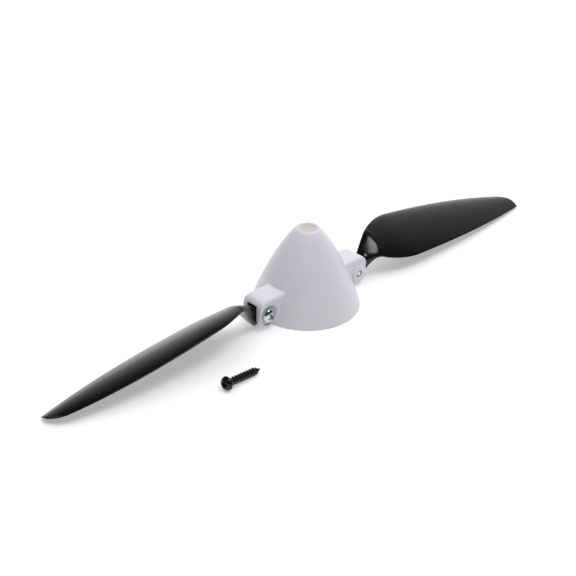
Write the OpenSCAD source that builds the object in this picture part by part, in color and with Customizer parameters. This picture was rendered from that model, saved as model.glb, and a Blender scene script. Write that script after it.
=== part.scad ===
// Two-blade folding propeller for a small electric model glider.
// Frame: +Z points forward along the spin axis, the hub's rear rim lies in the plane z = 0,
// the origin is the mouth of the shaft bore, and the blades reach out along +X and -X.
// Shown as it stands on a table on its rear rim, with both blades hanging a little back.

/* [Propeller] */
// Diameter that the blade tips sweep with the blades unfolded
prop_d = 130; // [110:1:150]
// Angle that both blades hang back from the unfolded position, in degrees
droop = 6; // [0:0.5:6]

/* [Spinner] */
// Diameter of the spinner at its rear rim
spinner_d = 22.4; // [20:0.1:26]
// Height of the spinner from the rear rim to the nose opening
spinner_h = 17.5; // [14:0.1:21]
// Diameter of the opening in the nose, wide enough for the screw head
nose_d = 4; // [3.8:0.1:4.6]
// Width of the flat ring round the nose opening
nose_lip = 0.15; // [0.1:0.05:0.4]
// Wall thickness of the spinner shell, measured level
shell_t = 1.4; // [0.9:0.1:1.7]

/* [Shaft seat] */
// Diameter of the blind bore that takes the drive shaft
shaft_d = 3; // [2:0.1:3.6]
// Depth of the shaft bore from the rear rim
shaft_depth = 8; // [6:0.1:9]
// Diameter of the central boss round the shaft bore
boss_d = 7; // [6:0.1:7.6]
// Thickness of the web that the mounting screw clamps on the shaft
web_t = 1.8; // [1.2:0.1:2.4]
// Radial clearance of the mounting screw in the web
screw_gap = 0.1; // [0.05:0.01:0.2]

/* [Clevis lugs] */
// Distance of each pivot outside the spinner's rim
pivot_out = 1.45; // [1:0.05:2]
// Height of the pivots above the rear rim
pivot_z = 3.15; // [3:0.05:3.6]
// Distance of the lug's outer end from the pivot
lug_end = 2.4; // [2.2:0.05:2.6]
// Overall width of a lug
lug_w = 5.3; // [5:0.05:6.4]
// Height of the lug's flat top above the rear rim
lug_top = 6.85; // [6.6:0.05:7.4]
// Height of the lug's underside above the rear rim
lug_foot = 0.65; // [0.4:0.05:0.8]
// Width of the slot that the blade knuckle swings in
slot_w = 2.64; // [2.4:0.02:2.9]
// Corner radius of the lug's outer end, in side view
lug_corner = 2.2; // [1.5:0.1:2.3]
// Radius along the lug's top edges
lug_edge = 0.9; // [0.3:0.1:1]

/* [Pivot screws] */
// Diameter of the screw shank that the blade turns on
pivot_d = 1.6; // [1.4:0.1:2]
// Diameter of the pan head
pivot_head_d = 3.1; // [2.8:0.1:3.4]
// Height of the pan head
pivot_head_h = 0.9; // [0.7:0.1:1.2]
// Depth of the round recess under the head
recess_depth = 0.45; // [0.2:0.05:0.6]
// Radial clearance between the head and its recess
recess_gap = 0.55; // [0.3:0.05:0.6]
// Diameter of the raised pad round the screw's end
pad_d = 3.5; // [3:0.1:4]
// Height of the raised pad
pad_h = 0.25; // [0.15:0.05:0.4]

/* [Blade root] */
// Radial clearance between the pivot screw and the blade
pivot_gap = 0.05; // [0.03:0.01:0.08]
// Clearance between the knuckle and each cheek of its slot
cheek_gap = 0.12; // [0.08:0.01:0.2]
// Radius of the knuckle round the pivot
knuckle_r = 2.2; // [2:0.05:2.3]
// Gap left over the knuckle's flat top when the blade is unfolded
stop_gap = 0.06; // [0.04:0.01:0.1]
// Clearance between the knuckle and the back of its slot
back_gap = 0.25; // [0.15:0.05:0.4]
// How far the knuckle runs straight on past the lug's end
knuckle_reach = 0.3; // [0.2:0.05:0.5]

/* [Blade] */
// Widest breadth of the blade, seen from the front
blade_w = 11.1; // [9:0.1:13]
// Distance from the spin axis where the blade is widest
full_x = 25.5; // [23:0.1:28]
// Breadth at the tip as a share of the widest breadth
tip_share = 0.335; // [0.2:0.005:0.5]
// Pitch angle where the blade reaches its widest breadth, in degrees
pitch_root = 25.3; // [20:0.1:32]
// Pitch angle at the tip, in degrees
pitch_tip = 15; // [10:0.1:18]
// Height of the blade's chord line above the pivot
blade_rise = 3.75; // [3.4:0.05:4.2]
// Thickness of the blade near the root
thick_root = 1.45; // [1.2:0.05:1.7]
// Thickness of the blade at the tip
thick_tip = 0.5; // [0.4:0.05:0.8]
// Camber of the section as a share of the blade's breadth
camber_share = 0.05; // [0.02:0.005:0.07]
// How far the tip's leading corner is rounded back
tip_round = 3; // [2:0.1:5]
// How far the blade's middle leads at its widest
lead_y = 0.31; // [0:0.01:0.6]
// How far the blade's middle falls back at the tip
tip_sweep = 0.74; // [0:0.01:1.2]
// How far the chord line drops back at the tip
tip_drop = 0.3; // [0:0.05:0.6]

/* [Mounting screw] */
// Diameter over the thread
thread_d = 1.7; // [1.5:0.1:2]
// Length of the shank and point under the head
shank_len = 8.6; // [6:0.1:9]
// Diameter of the pan head
head_d = 2.85; // [2.6:0.05:3.6]
// Height of the pan head
head_h = 1.1; // [0.9:0.1:1.4]
// Diameter of the core between the crests
core_d = 1.22; // [1:0.02:1.4]
// Distance between thread crests
thread_pitch = 0.75; // [0.6:0.05:1]
// Length of the tapering point
point_len = 1.6; // [1:0.1:2]

/* [Hidden] */
$fn = 96;
eps = 0.02;

// Spinner outline
rim_r = spinner_d / 2;
nose_r = nose_d / 2 + nose_lip;
pivot_x = rim_r + pivot_out;
ogive_rise = 1.145;
ogive_fall = 0.8;
ogive_steps = 28;

// Hub inside
roof_z = shaft_depth + web_t;
screw_hole_r = thread_d / 2 + screw_gap;

// Slot and knuckle
knuckle_w = slot_w - 2 * cheek_gap;
slot_roof = pivot_z + knuckle_r + stop_gap;
slot_end = pivot_x - knuckle_r - back_gap;
lug_end_x = pivot_x + lug_end;
shank_end = lug_w / 2 + pad_h;
knuckle_lift = 0.2;

// Blade stations, measured outwards from the pivot
neck_start = lug_end + knuckle_reach;
neck_overlap = 0.9;
full_u = full_x - pivot_x;
tip_u = prop_d / 2 - pivot_x;
tip_zone = 5;

// Lengths that the blade's shape settles over, all from the end of the knuckle
flare_len = 13.4;
crest_len = 4.6;
rise_len = 4.2;
round_len = 5;
tilt_len = 5.6;

// How sharply the blade's laws bend
flare_bend = 0.65;
rise_bend = 1.17;
taper_bend = 2.65;
sweep_bend = 3.5;
twist_bend = 1.6;
tip_bend = 4.6;
neck_square = 6;
edge_bulge = 0.25;

// Number of points round a section and of sections along the blade
ring_n = 36;
root_rings = 18;
span_rings = 18;
tip_rings = 6;

// Pan heads, as shares of their diameter or height
crown_share = 0.75;
cross_len_share = 0.54;
cross_w_share = 0.14;
cross_floor_share = 0.45;

// Where the loose mounting screw lies
loose_at = [-33, -13];
loose_turn = 2;
point_r = 0.1;
loose_tilt = asin((head_d - thread_d) / 2 / (shank_len - point_len));

function smooth(t) = let (c = min(1, max(0, t))) c * c * (3 - 2 * c);
function mix(a, b, t) = a + (b - a) * t;
function power(base, e) = sign(base) * pow(abs(base), e);

// Radius of the spinner's outside at a share s of its height
function ogive(s) = nose_r + (rim_r - nose_r) * pow(1 - pow(s, ogive_rise), ogive_fall);

// Blade laws at a distance u from the pivot
function share(u, length) = min(1, max(0, (u - neck_start) / length));
function ease(u, length) = sin(90 * share(u, length));
function span(u) = (u - full_u) / (tip_u - full_u);
function out(u) = max(0, span(u));
function flare(u) = smooth(pow(share(u, flare_len), flare_bend));
function full_half_w(u) = blade_w / 2 * mix(1, tip_share, pow(out(u), taper_bend));
function half_w(u) = mix(knuckle_w / 2, full_half_w(u), flare(u));
function mid_y(u) = lead_y * flare(u) - tip_sweep * pow(out(u), sweep_bend);
function pitch(u) = mix(pitch_tip, pitch_root, pow(max(0, 1 - span(u)), twist_bend));
function camber(u) = 2 * half_w(u) * camber_share * share(u, rise_len);
function half_t(u) = mix(thick_root, thick_tip, out(u)) / 2;
function chord_z(u) = blade_rise + camber(u) - tip_drop * pow(out(u), 2);
function top_z(u) = mix(knuckle_r, chord_z(u) + half_t(u), ease(u, crest_len));
function under_z(u) =
    mix(knuckle_lift - knuckle_r, chord_z(u) - half_t(u), pow(ease(u, rise_len), rise_bend));
function squareness(u) = mix(neck_square, 2, share(u, round_len));

// One point of the blade's skin: turn runs round the section from the leading edge
function skin(u, turn) = let (
    e = 2 / squareness(u),
    along = power(cos(turn), e),
    up = power(sin(turn), e) * (1 + edge_bulge * along * flare(u)),
    y = mid_y(u) + half_w(u) * along,
    tilt = y * tan(pitch(u)),
    top = top_z(u) + tilt * share(u, 1),
    bottom = under_z(u) + tilt * smooth(share(u, tilt_len)))
    [u, y, mix(bottom, top, (1 + up) / 2) - camber(u) * along * along];

// The tip is cut back towards the leading edge, so a ring near it bends
function tip_cut(u, turn) = tip_round * pow((1 + cos(turn)) / 2, tip_bend)
    * smooth((u - tip_u + tip_zone) / tip_zone);

// Stations from a to b, without b
function stretch(a, b, n) = [for (i = [0:n - 1]) mix(a, b, i / n)];

stations = concat(
    stretch(neck_start - neck_overlap, neck_start + flare_len, root_rings),
    stretch(neck_start + flare_len, tip_u - tip_zone, span_rings),
    stretch(tip_u - tip_zone, tip_u, tip_rings),
    [tip_u]);

module blade_skin() {
    rings = len(stations);
    points = [for (u = stations) for (k = [0:ring_n - 1])
        let (turn = 360 * k / ring_n) skin(u - tip_cut(u, turn), turn)];
    sides = [for (r = [0:rings - 2]) for (k = [0:ring_n - 1])
        let (a = r * ring_n + k, b = r * ring_n + (k + 1) % ring_n)
        each [[a, a + ring_n, b + ring_n], [a, b + ring_n, b]]];
    last = (rings - 1) * ring_n;
    caps = [for (k = [0:ring_n / 2 - 1])
        let (a = k, b = k + 1, c = ring_n - k - 1, d = (ring_n - k) % ring_n)
        each concat(
            b == c ? [] : [[a, b, c], [last + a, last + c, last + b]],
            a == d ? [] : [[a, c, d], [last + a, last + d, last + c]])];
    polyhedron(points, concat(sides, caps), convexity = 6);
}

// A cylinder lying along Y, centred on y = 0
module across(r, w) {
    rotate([90, 0, 0]) cylinder(r = r, h = w, center = true);
}

// A solid standing across the blade, drawn in side view
module side_slab(w) {
    rotate([90, 0, 0]) linear_extrude(w, center = true) children();
}

// Half of the hub and one blade are made on the +X side and turned for the other
module each_side() {
    for (turn = [0, 180]) rotate([0, 0, turn]) children();
}

module at_pivot() {
    translate([pivot_x, 0, pivot_z]) children();
}

// Knuckle that swings in the slot: round behind the pivot, square in front of it
module knuckle() {
    side_slab(knuckle_w) {
        circle(r = knuckle_r);
        translate([0, knuckle_lift - knuckle_r])
            square([neck_start, 2 * knuckle_r - knuckle_lift]);
    }
}

module blade() {
    color("#26262a") at_pivot() rotate([0, droop, 0]) difference() {
        union() {
            knuckle();
            blade_skin();
        }
        across(pivot_d / 2 + pivot_gap, lug_w);
    }
}

module blade_a() {
    blade();
}

module blade_b() {
    rotate([0, 0, 180]) blade();
}

// Half section of the spinner, narrowed by an inset, for a revolve
module half_section(inset) {
    polygon(concat(
        [for (i = [0:ogive_steps])
            let (s = i / ogive_steps) [max(nose_r, ogive(s) - inset), s * spinner_h]],
        [[0, spinner_h], [0, 0]]));
}

module shell() {
    difference() {
        rotate_extrude() half_section(0);
        translate([0, 0, -eps]) intersection() {
            rotate_extrude() half_section(shell_t);
            cylinder(r = rim_r, h = roof_z - shell_t);
        }
    }
}

// Lug with a rounded outer end in side view and rounded top edges in end view
module lug() {
    height = lug_top - lug_foot;
    intersection() {
        translate([0, 0, lug_foot]) side_slab(lug_w) {
            square([lug_end_x - lug_corner, height]);
            translate([0, lug_corner]) square([lug_end_x, height - 2 * lug_corner]);
            for (z = [lug_corner, height - lug_corner])
                translate([lug_end_x - lug_corner, z]) circle(r = lug_corner);
        }
        rotate([90, 0, 90]) linear_extrude(lug_end_x) {
            translate([-lug_w / 2, 0]) square([lug_w, lug_top - lug_edge]);
            for (y = [-1, 1])
                translate([y * (lug_w / 2 - lug_edge), lug_top - lug_edge]) circle(r = lug_edge);
            translate([lug_edge - lug_w / 2, 0]) square([lug_w - 2 * lug_edge, lug_top]);
        }
    }
}

module pad() {
    at_pivot() translate([0, -lug_w / 2, 0]) rotate([90, 0, 0]) cylinder(d = pad_d, h = pad_h);
}

// What each lug loses: the knuckle's slot, the pocket behind it that leaves two ribs,
// the screw hole and the seat of the screw's head
module lug_cuts() {
    translate([0, -slot_w / 2, -1]) cube([slot_end - shell_t, slot_w, lug_top - shell_t + 1]);
    translate([slot_end, -slot_w / 2, -1]) cube([lug_end_x, slot_w, slot_roof + 1]);
    at_pivot() {
        across(pivot_d / 2, 2 * shank_end + 1);
        translate([0, lug_w / 2 - recess_depth, 0]) rotate([-90, 0, 0])
            cylinder(r = pivot_head_d / 2 + recess_gap, h = lug_w);
    }
}

module spinner_hub() {
    color("#dedce6") difference() {
        union() {
            difference() {
                union() {
                    shell();
                    each_side() {
                        lug();
                        pad();
                    }
                }
                each_side() lug_cuts();
            }
            cylinder(d = boss_d, h = roof_z);
        }
        translate([0, 0, -eps]) cylinder(d = shaft_d, h = shaft_depth + eps);
        translate([0, 0, shaft_depth / 2]) cylinder(r = screw_hole_r, h = spinner_h);
        translate([0, 0, roof_z]) cylinder(d = nose_d, h = spinner_h);
    }
}

// Pan head with a cross recess, its flat underside at z = 0 and its crown upwards
module pan_head(d, h) {
    arm = [d * cross_len_share, d * cross_w_share];
    difference() {
        intersection() {
            cylinder(d = d, h = h);
            translate([0, 0, h - d * crown_share]) sphere(r = d * crown_share);
        }
        for (turn = [0, 90]) rotate([0, 0, turn])
            translate([-arm[0] / 2, -arm[1] / 2, h * cross_floor_share]) cube([arm[0], arm[1], h]);
    }
}

module pivot_screw() {
    color("#c9ced1") at_pivot() translate([0, lug_w / 2 - recess_depth, 0]) rotate([-90, 0, 0]) {
        pan_head(pivot_head_d, pivot_head_h);
        translate([0, 0, recess_depth - lug_w / 2 - shank_end])
            cylinder(d = pivot_d, h = lug_w / 2 + shank_end - recess_depth + eps);
    }
}

module pivot_screw_a() {
    pivot_screw();
}

module pivot_screw_b() {
    rotate([0, 0, 180]) pivot_screw();
}

// Self-tapping screw with ring-shaped crests and a pointed end, lying on its side
module mounting_screw() {
    thread_len = shank_len - point_len;
    flank = thread_pitch / 3;
    crests = floor(thread_len / thread_pitch);
    color("#17171a") translate([loose_at[0], loose_at[1], head_d / 2])
        rotate([0, 90 + loose_tilt, loose_turn]) {
            rotate([180, 0, 0]) pan_head(head_d, head_h);
            cylinder(d = core_d, h = thread_len);
            translate([0, 0, thread_len]) cylinder(r1 = core_d / 2, r2 = point_r, h = point_len);
            for (i = [1:crests]) translate([0, 0, (i - 0.5) * thread_pitch]) {
                cylinder(d1 = core_d, d2 = thread_d, h = flank);
                translate([0, 0, flank]) cylinder(d1 = thread_d, d2 = core_d, h = flank);
            }
        }
}

spinner_hub();
blade_a();
blade_b();
pivot_screw_a();
pivot_screw_b();
mounting_screw();
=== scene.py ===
"""Folding propeller in its studio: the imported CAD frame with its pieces, materials, lights and camera."""

import math

import bpy
import numpy as np
from mathutils import Matrix, Vector


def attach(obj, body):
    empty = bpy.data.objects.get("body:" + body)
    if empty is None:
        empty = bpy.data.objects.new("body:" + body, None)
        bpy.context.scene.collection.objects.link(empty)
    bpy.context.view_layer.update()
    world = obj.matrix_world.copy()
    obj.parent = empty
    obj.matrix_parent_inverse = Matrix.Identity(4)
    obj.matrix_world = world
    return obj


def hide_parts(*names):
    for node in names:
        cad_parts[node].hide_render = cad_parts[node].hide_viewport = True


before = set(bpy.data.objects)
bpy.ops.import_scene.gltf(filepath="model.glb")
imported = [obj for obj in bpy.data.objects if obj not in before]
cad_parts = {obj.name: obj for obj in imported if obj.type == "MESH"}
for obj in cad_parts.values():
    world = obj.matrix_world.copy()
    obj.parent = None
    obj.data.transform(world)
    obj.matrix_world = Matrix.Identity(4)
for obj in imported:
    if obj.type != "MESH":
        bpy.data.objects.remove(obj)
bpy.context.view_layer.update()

MM = 0.001

# ---------------------------------------------------------------- sizes in millimetres

# They are the CAD's, apart from small differences in the nose well, the pads, the recesses
# and the heads and ends of the pivot screws.

# The whole propeller
PROP_R = 65.0
DROOP = math.radians(6.0)

# Spinner
RIM_R = 11.2
SPINNER_H = 17.5
WELL_R = 1.94
LIP = 0.2
SHELL_T = 1.4
OGIVE_RISE = 1.145
OGIVE_FALL = 0.8

# Shaft boss and its bores
SHAFT_R = 1.5
SHAFT_DEPTH = 8.0
BOSS_R = 3.5
WEB_T = 1.8
ROOF_Z = SHAFT_DEPTH + WEB_T
SCREW_HOLE_R = 0.95

# Lugs: LUG_END is how far a lug goes past its pivot
PIVOT_OUT = 1.45
PIVOT = (RIM_R + PIVOT_OUT, 0.0, 3.15)
LUG_END = 2.4
LUG_W = 5.3
LUG_TOP = 6.85
LUG_FOOT = 0.65
LUG_CORNER = 2.2
LUG_EDGE = 0.9
SLOT_W = 2.64

# Pivot screws, their seats and their far ends
PIVOT_R = 0.8
HEAD_R = 1.57
HEAD_H = 1.25
HEAD_TURN = math.radians(28)
RECESS_DEPTH = 0.45
RECESS_R = 2.15
PAD_R = 1.85
PAD_H = 0.38
TAIL_R = 0.5
TAIL_LEN = 0.5
TAIL_GAP = 0.26
TAIL_SUNK = 0.16
DIMPLE_R = 0.56
DIMPLE_OUT = 0.42

# Blades and the slots that they turn in. Lengths run outwards from NECK_START, and each
# bend is an exponent.
KNUCKLE_R = 2.2
CHEEK_GAP = 0.12
STOP_GAP = 0.06
BACK_GAP = 0.25
KNUCKLE_W = SLOT_W - 2.0 * CHEEK_GAP
SLOT_ROOF = PIVOT[2] + KNUCKLE_R + STOP_GAP
SLOT_END = PIVOT[0] - KNUCKLE_R - BACK_GAP
KNUCKLE_LIFT = 0.2
LIFT_LEN = 1.2
BLADE_W = 11.1
FULL_X = 25.5
FULL_U = FULL_X - PIVOT[0]
TIP_U = PROP_R - PIVOT[0]
TIP_SHARE = 0.335
TAPER_BEND = 2.65
PITCH_ROOT = 25.3
PITCH_TIP = 15.0
TWIST_BEND = 1.6
BLADE_RISE = 3.75
THICK_ROOT = 1.45
THICK_TIP = 0.5
CAMBER_SHARE = 0.05
TIP_ROUND = 3.0
TIP_ZONE = 5.0
TIP_BEND = 4.6
TIP_EDGE = 0.22
LEAD_Y = 0.31
TIP_SWEEP = 0.74
SWEEP_BEND = 3.5
TIP_DROP = 0.3
KNUCKLE_REACH = 0.3
NECK_START = LUG_END + KNUCKLE_REACH
FLARE_LEN = 13.4
FLARE_BEND = 0.65
CREST_LEN = 4.6
RISE_LEN = 4.2
RISE_BEND = 1.17
ROUND_LEN = 5.0
NECK_SQUARE = 6.0
EDGE_BULGE = 0.25
TILT_LEN = 5.6

# Loose mounting screw
THREAD_R = 0.85
CORE_R = 0.61
SHANK_LEN = 8.6
POINT_LEN = 1.6
LOOSE_HEAD_R = 1.425
LOOSE_HEAD_H = 1.1
THREAD_PITCH = 0.75
RIDGE_SHARE = 0.28
PLAIN_LEN = 0.55
FADE_IN = 0.6
FADE_OUT = 1.0
LOOSE_AT = (-33.0, -13.0)
LOOSE_TURN = math.radians(2.0)


# ---------------------------------------------------------------- small maths

def smooth(t):
    t = np.clip(t, 0.0, 1.0)
    return t * t * (3.0 - 2.0 * t)


def mix(a, b, t):
    return a + (b - a) * t


def power(base, exponent):
    return np.sign(base) * np.abs(base) ** exponent


# ---------------------------------------------------------------- distance fields, negative inside

def join(a, b, fillet=0.0):
    if not fillet:
        return np.minimum(a, b)
    h = np.clip(fillet - np.abs(a - b), 0.0, None) / fillet
    return np.minimum(a, b) - h * h * fillet / 4.0


def common(a, b, fillet=0.0):
    return -join(-a, -b, fillet)


def cut(a, b, fillet=0.0):
    return common(a, -b, fillet)


def rod(r, h, radius, low, high, fillet=0.1):
    """A round rod: r is the distance from its axis and h the place along it."""
    return common(r - radius, np.abs(h - (low + high) / 2.0) - (high - low) / 2.0, fillet)


def rounded_box(p, q, low, high, radius):
    """A rectangle with rounded corners in the plane of p and q."""
    dp = np.abs(p - (low[0] + high[0]) / 2.0) - (high[0] - low[0]) / 2.0 + radius
    dq = np.abs(q - (low[1] + high[1]) / 2.0) - (high[1] - low[1]) / 2.0 + radius
    outside = np.hypot(np.maximum(dp, 0.0), np.maximum(dq, 0.0))
    return outside + np.minimum(np.maximum(dp, dq), 0.0) - radius


def drawn_on(field, points, step):
    """The points moved on to the field's zero surface, and the surface's normals there."""
    def gradient(at):
        d = step * 0.1
        g = np.zeros_like(at)
        for axis in range(3):
            shift = np.zeros(3)
            shift[axis] = d
            g[:, axis] = field(*(at + shift).T) - field(*(at - shift).T)
        return g / (2.0 * d)

    for _ in range(3):
        g = gradient(points)
        size = np.maximum((g * g).sum(1), 0.05)
        move = -(field(*points.T) / size)[:, None] * g
        points = points + np.clip(move, -step / 2.0, step / 2.0)
    g = gradient(points)
    return points, g / np.maximum(np.linalg.norm(g, axis=1), 1e-9)[:, None]


def surface(name, field, low, high, step):
    """The zero surface of a distance field as a smooth quad mesh, found on a grid and then
    drawn on to the field itself. The field takes and gives millimetres."""
    low, high = np.array(low, float), np.array(high, float)
    count = np.ceil((high - low) / step).astype(int) + 1
    axes = [low[i] + step * np.arange(count[i]) for i in range(3)]
    gx, gy, gz = np.meshgrid(*axes, indexing="ij", sparse=True)
    value = np.broadcast_to(field(gx, gy, gz), count).astype(np.float32)
    inside = value < 0.0

    # Each cell that the surface goes through gets one point, the mean of its edges' crossings
    total = np.zeros(count - 1, np.float32)
    places = np.zeros((*(count - 1), 3), np.float32)
    crossings = []
    for axis in range(3):
        a = [slice(None)] * 3
        b = [slice(None)] * 3
        a[axis], b[axis] = slice(0, -1), slice(1, None)
        va, vb = value[tuple(a)], value[tuple(b)]
        crossed = inside[tuple(a)] != inside[tuple(b)]
        crossings.append(crossed)
        i, j, k = np.nonzero(crossed)
        t = va[i, j, k] / (va[i, j, k] - vb[i, j, k])
        spot = np.stack([i, j, k], 1).astype(np.float32)
        spot[:, axis] += t
        others = [n for n in range(3) if n != axis]
        for da in (0, 1):
            for db in (0, 1):
                cell = np.stack([i, j, k], 1)
                cell[:, others[0]] -= da
                cell[:, others[1]] -= db
                ok = ((cell >= 0) & (cell < count - 1)).all(1)
                c = cell[ok]
                np.add.at(total, (c[:, 0], c[:, 1], c[:, 2]), 1.0)
                np.add.at(places, (c[:, 0], c[:, 1], c[:, 2]), spot[ok])

    index = np.full(count - 1, -1, np.int64)
    used = total > 0
    index[used] = np.arange(used.sum())
    points = low + step * (places[used] / total[used][:, None]).astype(float)

    # Each crossed edge gets one quad, between the points of the four cells round it
    quads = []
    for axis in range(3):
        i, j, k = np.nonzero(crossings[axis])
        cell = np.stack([i, j, k], 1)
        b, c = [n for n in range(3) if n != axis]
        if axis == 1:
            b, c = c, b
        ring = []
        for db, dc in ((0, 0), (-1, 0), (-1, -1), (0, -1)):
            m = cell.copy()
            m[:, b] += db
            m[:, c] += dc
            ring.append(index[m[:, 0], m[:, 1], m[:, 2]])
        ring = np.stack(ring, 1)
        flip = ~inside[i, j, k]
        ring[flip] = ring[flip][:, ::-1]
        quads.append(ring)
    quads = np.concatenate(quads)

    points, normals = drawn_on(field, points, step)
    return new_mesh(name, points, quads, normals)


def new_mesh(name, points, faces, normals=None):
    """A mesh in metres from points in millimetres and faces of equal length."""
    mesh = bpy.data.meshes.new(name)
    faces = np.asarray(faces)
    mesh.vertices.add(len(points))
    mesh.vertices.foreach_set("co", (np.asarray(points, np.float32) * MM).ravel())
    mesh.loops.add(faces.size)
    mesh.loops.foreach_set("vertex_index", faces.astype(np.int32).ravel())
    mesh.polygons.add(len(faces))
    mesh.polygons.foreach_set("loop_start", np.arange(len(faces), dtype=np.int32) * faces.shape[1])
    mesh.update(calc_edges=True)
    mesh.validate()
    mesh.shade_smooth()
    if normals is not None:
        mesh.normals_split_custom_set_from_vertices(normals.tolist())
    piece = bpy.data.objects.new(name, mesh)
    bpy.context.scene.collection.objects.link(piece)
    return piece


# ---------------------------------------------------------------- hub

def ogive(z):
    """Radius of the spinner's outside, and how steeply it changes, at a height z."""
    share = np.clip(z / SPINNER_H, 0.0, 0.999)
    nose = WELL_R + LIP
    left = 1.0 - share ** OGIVE_RISE
    radius = nose + (RIM_R - nose) * left ** OGIVE_FALL
    slope = -(RIM_R - nose) * OGIVE_FALL * OGIVE_RISE / SPINNER_H
    slope = slope * left ** (OGIVE_FALL - 1.0) * np.maximum(share, 1e-6) ** (OGIVE_RISE - 1.0)
    return radius, np.clip(slope, -3.0, 3.0)


def hub_field(x, y, z):
    """Spinner, lugs and shaft boss in one moulding, standing on its rear rim at z = 0."""
    r = np.hypot(x, y)
    radius, slope = ogive(z)
    tilt = 1.0 / np.sqrt(1.0 + slope * slope)
    outside = common((r - radius) * tilt, np.abs(z - SPINNER_H / 2.0) - SPINNER_H / 2.0, 0.25)
    hollow = common((r - radius + SHELL_T) * tilt, z - (ROOF_Z - SHELL_T), 1.2)
    shell = cut(outside, hollow, 0.3)

    # Everything about the lugs is the same after half a turn
    side = np.where(x >= 0.0, 1.0, -1.0)
    lx, ly = x * side, y * side
    reach = PIVOT[0] + LUG_END
    profile = rounded_box(lx, z, (-reach, LUG_FOOT), (reach, LUG_TOP), LUG_CORNER)
    end_view = rounded_box(ly, z, (-LUG_W / 2, LUG_FOOT - 2.0), (LUG_W / 2, LUG_TOP), LUG_EDGE)
    lug = common(profile, end_view, 0.5)
    pr = np.hypot(lx - PIVOT[0], z - PIVOT[2])
    pad = rod(pr, ly, PAD_R, -LUG_W / 2 - PAD_H, 0.0, 0.45)
    lug = join(lug, pad, 0.12)
    body = join(shell, lug, 0.3)

    slot = common(np.abs(ly) - SLOT_W / 2, common(SLOT_END - lx, z - SLOT_ROOF, 0.2), 0.1)
    pocket = common(np.abs(ly) - SLOT_W / 2, z - (LUG_TOP - SHELL_T), 0.4)
    pocket = common(pocket, lx - (SLOT_END - SHELL_T), 0.4)
    body = cut(body, slot, 0.22)
    body = cut(body, pocket, 0.3)
    seat = rod(pr, ly, RECESS_R, LUG_W / 2 - RECESS_DEPTH, LUG_W, 0.15)
    body = cut(body, seat, 0.3)
    hole = pr - np.where(ly > -LUG_W / 2 + TAIL_LEN, PIVOT_R, TAIL_R + TAIL_GAP)
    body = cut(body, common(hole, np.abs(ly) - LUG_W), 0.1)

    body = join(body, rod(r, z, BOSS_R, 0.0, ROOF_Z, 0.3), 0.5)
    body = cut(body, rod(r, z, SHAFT_R, -2.0, SHAFT_DEPTH, 0.1), 0.25)
    body = cut(body, rod(r, z, SCREW_HOLE_R, 1.0, SPINNER_H, 0.0), 0.1)
    body = cut(body, rod(r, z, WELL_R, ROOF_Z, SPINNER_H + 3.0, 0.2), 0.25)
    return body


spinner = surface("spinner", hub_field, (-15.6, -11.8, -0.5), (15.6, 11.8, 18.0), step=0.16)


# ---------------------------------------------------------------- screws

def cross_recess(x, y, z, radius, low, high):
    """A cross that opens upwards along z. Each size is a share of the head's radius, at the
    cross's mouth and at its floor."""
    depth = np.clip((high - z) / (high - low), -0.5, 1.2)
    arm = mix(radius * 0.62, radius * 0.22, depth)
    width = mix(radius * 0.2, radius * 0.1, depth)
    middle = mix(radius * 0.3, radius * 0.12, depth)
    ax, ay = np.abs(x), np.abs(y)
    one = common(ax - arm, ay - width, 0.06)
    two = common(ay - arm, ax - width, 0.06)
    cross = join(one, two, 0.08)
    cross = join(cross, np.hypot(x, y) - middle, 0.05)
    return common(cross, low - z, 0.05)


def pan(x, y, z, radius, height):
    """A pan head that sits on z = 0 and rises to z = height."""
    r = np.hypot(x, y)
    ball = 1.5 * radius
    crown = np.sqrt(r * r + (z - height + ball) ** 2) - ball
    head = common(common(r - radius, -z, 0.12), crown, 0.45)
    return cut(head, cross_recess(x, y, z, radius, height * 0.3, height), 0.06)


def pivot_field(x, y, z):
    """The pivot screw along its axis z, with the head's seat at z = 0."""
    r = np.hypot(x, y)
    end = -(LUG_W + PAD_H - RECESS_DEPTH)
    shank = rod(r, z, PIVOT_R, end + PAD_H + TAIL_LEN, 0.2, 0.15)
    tail = rod(r, z, TAIL_R, end + TAIL_SUNK, 0.0, 0.15)
    dimple = np.sqrt(r * r + (z - end + DIMPLE_OUT) ** 2) - DIMPLE_R
    shank = cut(join(shank, tail, 0.05), dimple, 0.05)
    return join(shank, pan(x, y, z, HEAD_R, HEAD_H), 0.1)


def screw_field(x, y, z):
    """The mounting screw along its axis z, with the head's seat at z = 0 and its point below."""
    r = np.hypot(x, y)
    down = -z
    taper = np.clip((down - (SHANK_LEN - POINT_LEN)) / POINT_LEN, 0.0, 1.0)
    core = mix(CORE_R, 0.1, taper)
    shank = common(r - core, down - SHANK_LEN, 0.05) * 0.9
    shank = common(shank, -down - 0.2, 0.0)
    turn = np.arctan2(y, x) / (2.0 * np.pi)
    phase = down / THREAD_PITCH - turn
    ridge = 1.0 - np.abs((phase - np.floor(phase)) - 0.5) / RIDGE_SHARE
    fade = smooth((down - PLAIN_LEN) / FADE_IN) * smooth((SHANK_LEN - 0.1 - down) / FADE_OUT)
    height = (THREAD_R - CORE_R) * np.clip(ridge, -0.3, 0.93) * fade
    # A field as steep as the thread's flanks is scaled back towards a true distance
    thread = (r - (core + height)) * 0.6
    thread = common(thread, np.abs(down - SHANK_LEN / 2 - 0.2) - SHANK_LEN / 2 + 0.35, 0.0)
    body = join(shank, thread, 0.05)
    return join(body, pan(x, y, z, LOOSE_HEAD_R, LOOSE_HEAD_H), 0.25)


def place(piece, matrix):
    piece.data.transform(matrix)
    piece.data.update()


def turned(angle, axis):
    return Matrix.Rotation(angle, 4, axis)


def moved(x, y, z):
    return Matrix.Translation(Vector((x, y, z)) * MM)


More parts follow.
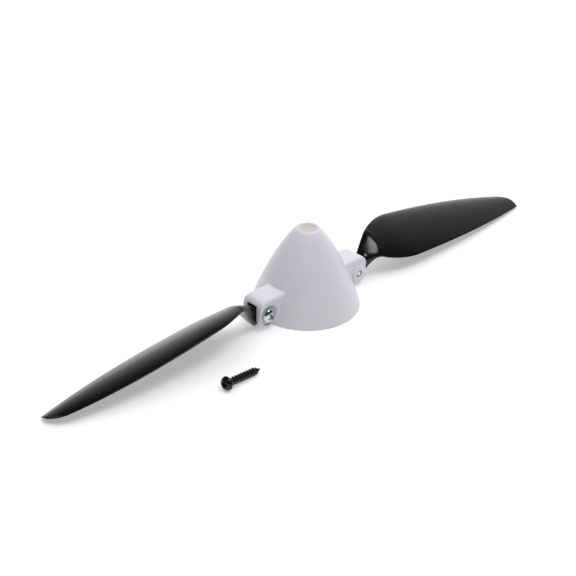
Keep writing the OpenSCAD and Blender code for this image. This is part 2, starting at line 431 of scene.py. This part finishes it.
half_turn = turned(math.pi, "Z")
pivots = []
for letter, spin in (("a", Matrix.Identity(4)), ("b", half_turn)):
    piece = surface("pivot_pin_" + letter, pivot_field, (-1.8, -1.8, -5.4), (1.8, 1.8, 1.2), step=0.06)
    seat = moved(PIVOT[0], LUG_W / 2 - RECESS_DEPTH, PIVOT[2])
    place(piece, spin @ seat @ turned(-math.pi / 2, "X") @ turned(HEAD_TURN, "Z"))
    pivots.append(piece)

loose = surface("loose_screw", screw_field, (-2.0, -2.0, -8.8), (2.0, 2.0, 1.5), step=0.07)
lean = math.asin((LOOSE_HEAD_R - THREAD_R) / (SHANK_LEN - POINT_LEN))
lie = turned(LOOSE_TURN, "Z") @ turned(math.pi / 2 + lean, "Y") @ turned(math.pi, "X")
place(loose, moved(LOOSE_AT[0], LOOSE_AT[1], LOOSE_HEAD_R) @ lie)


# ---------------------------------------------------------------- blades

def share(u, length):
    """How far u has gone along a length that starts at the neck, from 0 to 1."""
    return np.clip((u - NECK_START) / length, 0.0, 1.0)


def ease(u, length):
    """The same, starting fast and ending slowly."""
    return np.sin(np.pi / 2 * share(u, length))


def blade_points(u, turn, narrow, thin):
    """Points of the blade's skin in the blade's own frame, u out from the pivot."""
    span = (u - FULL_U) / (TIP_U - FULL_U)
    out = np.maximum(span, 0.0)
    flare = smooth(share(u, FLARE_LEN) ** FLARE_BEND)
    full = BLADE_W / 2 * mix(1.0, TIP_SHARE, out ** TAPER_BEND)
    half_w = mix(KNUCKLE_W / 2, full, flare)
    mid_y = LEAD_Y * flare - TIP_SWEEP * out ** SWEEP_BEND
    pitch = np.radians(mix(PITCH_TIP, PITCH_ROOT, np.maximum(1.0 - span, 0.0) ** TWIST_BEND))
    camber = 2.0 * half_w * CAMBER_SHARE * share(u, RISE_LEN)
    half_t = mix(THICK_ROOT, THICK_TIP, out) / 2.0
    chord_z = BLADE_RISE + camber - TIP_DROP * out ** 2
    round_back = np.sqrt(np.maximum(KNUCKLE_R ** 2 - np.minimum(u, 0.0) ** 2, 0.0))
    floor_z = KNUCKLE_LIFT * smooth(u / LIFT_LEN) - round_back
    top_z = mix(round_back, chord_z + half_t, ease(u, CREST_LEN))
    under_z = mix(floor_z, chord_z - half_t, ease(u, RISE_LEN) ** RISE_BEND)
    # The section goes from a rounded square to an ellipse
    e = 2.0 / mix(NECK_SQUARE, 2.0, share(u, ROUND_LEN))
    along = power(np.cos(turn), e)
    up = power(np.sin(turn), e) * (1.0 + EDGE_BULGE * along * flare)
    y = mid_y + half_w * along * narrow
    tilt = y * np.tan(pitch)
    top = top_z + tilt * share(u, 1.0)
    bottom = under_z + tilt * smooth(share(u, TILT_LEN))
    z = mix(bottom, top, (1.0 + up * thin) / 2.0) - camber * along * along
    return u, y, z


def blade_mesh(name):
    """A blade's skin: rings of points at stations out along it, closed across both ends."""
    ring = 128
    closing = 9
    turn = np.arange(ring) / ring * 2.0 * np.pi
    back = -KNUCKLE_R * np.cos(np.linspace(0.02, np.pi / 2, 14, endpoint=False))
    stations = np.concatenate([
        back,
        np.linspace(0.0, NECK_START, 8, endpoint=False),
        np.linspace(NECK_START, NECK_START + FLARE_LEN, 90, endpoint=False),
        np.linspace(NECK_START + FLARE_LEN, TIP_U - TIP_ZONE, 70, endpoint=False),
        np.linspace(TIP_U - TIP_ZONE, TIP_U - TIP_EDGE, 30, endpoint=False)])
    # The last rings close the tip with a rounded edge
    close = np.linspace(0.0, 1.0, closing) * np.pi / 2
    open_rings = np.ones(len(stations))
    stations = np.concatenate([stations, TIP_U - TIP_EDGE + TIP_EDGE * np.sin(close)])
    thin = np.concatenate([open_rings, np.maximum(np.cos(close), 0.02)])
    narrow = np.concatenate([open_rings, 1.0 - 0.12 * (1.0 - np.cos(close))])
    u, t = np.meshgrid(stations, turn, indexing="ij")
    # The leading edge turns back into the tip
    tip_cut = TIP_ROUND * ((1.0 + np.cos(t)) / 2.0) ** TIP_BEND
    tip_cut = tip_cut * smooth((u - TIP_U + TIP_ZONE) / TIP_ZONE)
    x, y, z = blade_points(u - tip_cut, t, narrow[:, None], thin[:, None])
    points = np.stack([x, y, z], -1).reshape(-1, 3)
    rows = len(stations)
    r, k = np.meshgrid(np.arange(rows - 1), np.arange(ring), indexing="ij")
    a = (r * ring + k).ravel()
    b = (r * ring + (k + 1) % ring).ravel()
    quads = np.stack([a, a + ring, b + ring, b], 1)
    # Each end is closed with quads across the section
    caps = []
    for first, flip in ((0, False), ((rows - 1) * ring, True)):
        for k in range(1, ring // 2 - 1):
            quad = [first + k, first + k + 1, first + ring - k - 1, first + ring - k]
            caps.append(quad[::-1] if flip else quad)
    ends = []
    for first, flip in ((0, False), ((rows - 1) * ring, True)):
        for tri in ((0, 1, ring - 1), (ring // 2 - 1, ring // 2, ring // 2 + 1)):
            tri = [first + n for n in tri]
            ends.append(tri[::-1] if flip else tri)
    mesh = bpy.data.meshes.new(name)
    faces = quads.tolist() + caps + ends
    mesh.from_pydata((points * MM).tolist(), [], faces)
    mesh.validate()
    mesh.shade_smooth()
    piece = bpy.data.objects.new(name, mesh)
    bpy.context.scene.collection.objects.link(piece)
    return piece


blades = []
for letter, spin in (("a", Matrix.Identity(4)), ("b", half_turn)):
    piece = blade_mesh("blade_skin_" + letter)
    place(piece, spin @ moved(*PIVOT) @ turned(DROOP, "Y"))
    blades.append(piece)


# ---------------------------------------------------------------- materials

def material(name, colour, roughness, metallic=0.0, mottle=0.04, rough_range=0.06, grain=900.0,
             bump=0.02, wear=None, wear_amount=0.0, hollow=None, glow=0.0):
    """A material with mottled colour and roughness and a fine grain. Wear lightens its edges,
    and hollow is a lighter colour painted inside the nose well, where the surface also glows: painted
    light."""
    m = bpy.data.materials.new(name)
    m.use_nodes = True
    nodes, links = m.node_tree.nodes, m.node_tree.links
    shader = nodes["Principled BSDF"]
    shader.inputs["Metallic"].default_value = metallic
    shader.inputs["Emission Color"].default_value = (1.0, 1.0, 1.0, 1.0)
    shader.inputs["Emission Strength"].default_value = glow
    spot = nodes.new("ShaderNodeTexCoord")

    def noise(scale, detail, rough):
        n = nodes.new("ShaderNodeTexNoise")
        n.inputs["Scale"].default_value = scale
        n.inputs["Detail"].default_value = detail
        n.inputs["Roughness"].default_value = rough
        links.new(spot.outputs["Object"], n.inputs["Vector"])
        return n.outputs["Fac"]

    def ranged(value, low, high, start=0.0, stop=1.0):
        n = nodes.new("ShaderNodeMapRange")
        n.inputs["From Min"].default_value = start
        n.inputs["From Max"].default_value = stop
        n.inputs["To Min"].default_value = low
        n.inputs["To Max"].default_value = high
        links.new(value, n.inputs["Value"])
        return n.outputs["Result"]

    def over(tint, top, amount):
        n = nodes.new("ShaderNodeMix")
        n.data_type = "RGBA"
        n.inputs["B"].default_value = (*top, 1.0)
        links.new(amount, n.inputs["Factor"])
        links.new(tint, n.inputs["A"])
        return n.outputs["Result"]

    def painted_well_light_mask():
        """1 inside the nose well and 0 elsewhere, from the place in the spinner: where the well's painted
        light goes.
        """
        parts = nodes.new("ShaderNodeSeparateXYZ")
        links.new(spot.outputs["Object"], parts.inputs["Vector"])
        flat = nodes.new("ShaderNodeCombineXYZ")
        links.new(parts.outputs["X"], flat.inputs["X"])
        links.new(parts.outputs["Y"], flat.inputs["Y"])
        reach = nodes.new("ShaderNodeVectorMath")
        reach.operation = "LENGTH"
        links.new(flat.outputs["Vector"], reach.inputs[0])
        within = ranged(reach.outputs["Value"], 1.0, 0.0, (WELL_R + 0.02) * MM, (WELL_R + 0.1) * MM)
        above = ranged(parts.outputs["Z"], 0.0, 1.0, (ROOF_Z - 0.3) * MM, ROOF_Z * MM)
        both_ways = nodes.new("ShaderNodeMath")
        both_ways.operation = "MULTIPLY"
        links.new(within, both_ways.inputs[0])
        links.new(above, both_ways.inputs[1])
        return both_ways.outputs["Value"]

    ramp = nodes.new("ShaderNodeValToRGB")
    ramp.color_ramp.elements[0].position = 0.3
    ramp.color_ramp.elements[1].position = 0.7
    ramp.color_ramp.elements[0].color = (*[c * (1.0 - mottle) for c in colour], 1.0)
    ramp.color_ramp.elements[1].color = (*[min(1.0, c * (1.0 + mottle)) for c in colour], 1.0)
    links.new(noise(140.0, 4.0, 0.6), ramp.inputs["Fac"])
    tint = ramp.outputs["Color"]
    if wear:
        edge = nodes.new("ShaderNodeNewGeometry").outputs["Pointiness"]
        tint = over(tint, wear, ranged(edge, 0.0, wear_amount, 0.52, 0.62))
    if hollow:
        # Painted light: the well gets a lighter, warmer colour and a glow, standing in for light that has
        # gone through the moulding
        well = painted_well_light_mask()
        tint = over(tint, hollow, well)
        links.new(well, shader.inputs["Emission Color"])
    links.new(tint, shader.inputs["Base Color"])
    rough = ranged(noise(320.0, 5.0, 0.65), roughness - rough_range, roughness + rough_range, 0.3, 0.7)
    links.new(rough, shader.inputs["Roughness"])
    bumps = nodes.new("ShaderNodeBump")
    bumps.inputs["Strength"].default_value = bump
    bumps.inputs["Distance"].default_value = 0.0001
    links.new(noise(grain, 3.0, 0.5), bumps.inputs["Height"])
    links.new(bumps.outputs["Normal"], shader.inputs["Normal"])
    return m


# The warm hollow colour and the glow inside the nose well are painted light, not the moulding's own colour
spinner_plastic = material("spinner_plastic", (0.725, 0.71, 0.778), 0.34, mottle=0.015, rough_range=0.03,
                           grain=1600.0, bump=0.05, wear=(0.8, 0.79, 0.85), wear_amount=0.3,
                           hollow=(0.98, 0.95, 0.92), glow=0.06)
blade_plastic = material("blade_plastic", (0.0045, 0.0043, 0.0062), 0.17, mottle=0.15, rough_range=0.03,
                         grain=1100.0, bump=0.04, wear=(0.02, 0.02, 0.021), wear_amount=0.4)
pivot_steel = material("pivot_steel", (0.58, 0.67, 0.67), 0.2, metallic=1.0, mottle=0.06, grain=2600.0,
                       bump=0.08)
black_steel = material("black_steel", (0.006, 0.006, 0.0065), 0.24, metallic=0.2, mottle=0.2,
                       grain=2600.0, bump=0.08, wear=(0.06, 0.06, 0.06), wear_amount=0.4)

for piece, paint, body, node, slot in (
        (spinner, spinner_plastic, "hub", "spinner_hub", "spinner_plastic"),
        (blades[0], blade_plastic, "blade_a", "blade_a", "blade_plastic"),
        (blades[1], blade_plastic, "blade_b", "blade_b", "blade_plastic"),
        (pivots[0], pivot_steel, "hub", "pivot_screw_a", "pivot_steel"),
        (pivots[1], pivot_steel, "hub", "pivot_screw_b", "pivot_steel"),
        (loose, black_steel, "hub", "mounting_screw", "black_steel")):
    piece.data.materials.append(paint)
    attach(piece, body)
    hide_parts(node)


# ---------------------------------------------------------------- floor, lights and camera

# Wide enough to keep the floor's edge out of low views
FLOOR_HALF = 12.0
floor_mesh = bpy.data.meshes.new("floor")
corners = [(x * FLOOR_HALF, y * FLOOR_HALF, 0.0) for x, y in ((-1, -1), (1, -1), (1, 1), (-1, 1))]
floor_mesh.from_pydata(corners, [], [(0, 1, 2, 3)])
floor = bpy.data.objects.new("floor", floor_mesh)
bpy.context.scene.collection.objects.link(floor)
floor.data.materials.append(material("floor_card", (0.68, 0.68, 0.68), 0.7, mottle=0.005, bump=0.0,
                                     glow=0.38))

# The room: bright low down behind the table and to its right, dimmer higher up and nearly
# dark on the camera's side
world = bpy.data.worlds.new("studio")
bpy.context.scene.world = world
world.use_nodes = True
sky, wires = world.node_tree.nodes, world.node_tree.links
backdrop = sky["Background"]
heading = sky.new("ShaderNodeTexCoord")


def sky_ramp(direction, stops):
    """A grey level that depends on how far a view direction goes along another one."""
    dot = sky.new("ShaderNodeVectorMath")
    dot.operation = "DOT_PRODUCT"
    dot.inputs[1].default_value = direction
    wires.new(heading.outputs["Generated"], dot.inputs[0])
    spread = sky.new("ShaderNodeMapRange")
    spread.inputs["From Min"].default_value = -1.0
    wires.new(dot.outputs["Value"], spread.inputs["Value"])
    ramp = sky.new("ShaderNodeValToRGB")
    elements = ramp.color_ramp.elements
    elements[0].position, elements[1].position = 0.0, 1.0
    for position, level in stops:
        e = elements.new((position + 1.0) / 2.0)
        e.color = (level, level, level, 1.0)
    elements[0].color = elements[1].color
    elements[len(elements) - 1].color = elements[len(elements) - 2].color
    wires.new(spread.outputs["Result"], ramp.inputs["Fac"])
    return ramp.outputs["Color"]


UPWARDS = (0.0, 0.0, 1.0)
BEHIND = (0.94, 0.342, 0.0)
by_height = sky_ramp(UPWARDS, [(0.02, 1.0), (0.2, 0.8), (0.42, 0.55), (0.57, 0.5), (0.7, 0.5),
                               (0.82, 0.4), (0.95, 0.3)])
by_side = sky_ramp(BEHIND, [(0.3, 0.08), (0.5, 0.12), (0.65, 0.45), (0.75, 0.8), (0.85, 1.1),
                            (0.95, 1.7)])
both = sky.new("ShaderNodeMix")
both.data_type = "RGBA"
both.blend_type = "MULTIPLY"
both.inputs["Factor"].default_value = 1.0
wires.new(by_height, both.inputs["A"])
wires.new(by_side, both.inputs["B"])
wires.new(both.outputs["Result"], backdrop.inputs["Color"])


def softbox(name, place_at, aim_at, width, height, power):
    """A rectangular light that faces a point: metres and watts."""
    light = bpy.data.lights.new(name, "AREA")
    light.shape = "RECTANGLE"
    light.size, light.size_y = width, height
    light.energy = power
    lamp = bpy.data.objects.new(name, light)
    lamp.location = place_at
    lamp.rotation_mode = "QUATERNION"
    lamp.rotation_quaternion = (Vector(place_at) - Vector(aim_at)).to_track_quat("Z", "Y")
    bpy.context.scene.collection.objects.link(lamp)
    return lamp


softbox("overhead", (0.095, -0.18, 0.6), (0, 0, 0), 0.33, 0.19, 1.05)
fill = softbox("diffuse_fill", (0.0, 0.1, 1.1), (0, 0, 0), 1.8, 1.8, 16.0)
fill.visible_glossy = False

# The line of sight passes the frame's origin a little to its left and above it, in metres
AZIMUTH = math.radians(-44.565)
ELEVATION = math.radians(30.845)
ROLL = math.radians(1.738)
DISTANCE = 0.340064
LENS = 103.768
SHIFT_LEFT = 0.003537
SHIFT_UP = 0.002891

back = Vector((math.sin(AZIMUTH) * math.cos(ELEVATION), -math.cos(AZIMUTH) * math.cos(ELEVATION),
               math.sin(ELEVATION)))
level = Vector((math.cos(AZIMUTH), math.sin(AZIMUTH), 0.0))
upright = back.cross(level)
right = level * math.cos(ROLL) + upright * math.sin(ROLL)
up = upright * math.cos(ROLL) - level * math.sin(ROLL)
lens = bpy.data.cameras.new("camera")
lens.lens = LENS
lens.sensor_width = 36.0
lens.clip_start, lens.clip_end = 0.01, 20.0
camera = bpy.data.objects.new("camera", lens)
spot = back * DISTANCE - right * SHIFT_LEFT + up * SHIFT_UP
axes = Matrix((right, up, back)).transposed()
camera.matrix_world = Matrix.Translation(spot) @ axes.to_4x4()
bpy.context.scene.collection.objects.link(camera)
bpy.context.scene.camera = camera
bpy.context.scene.view_settings.view_transform = "Standard"
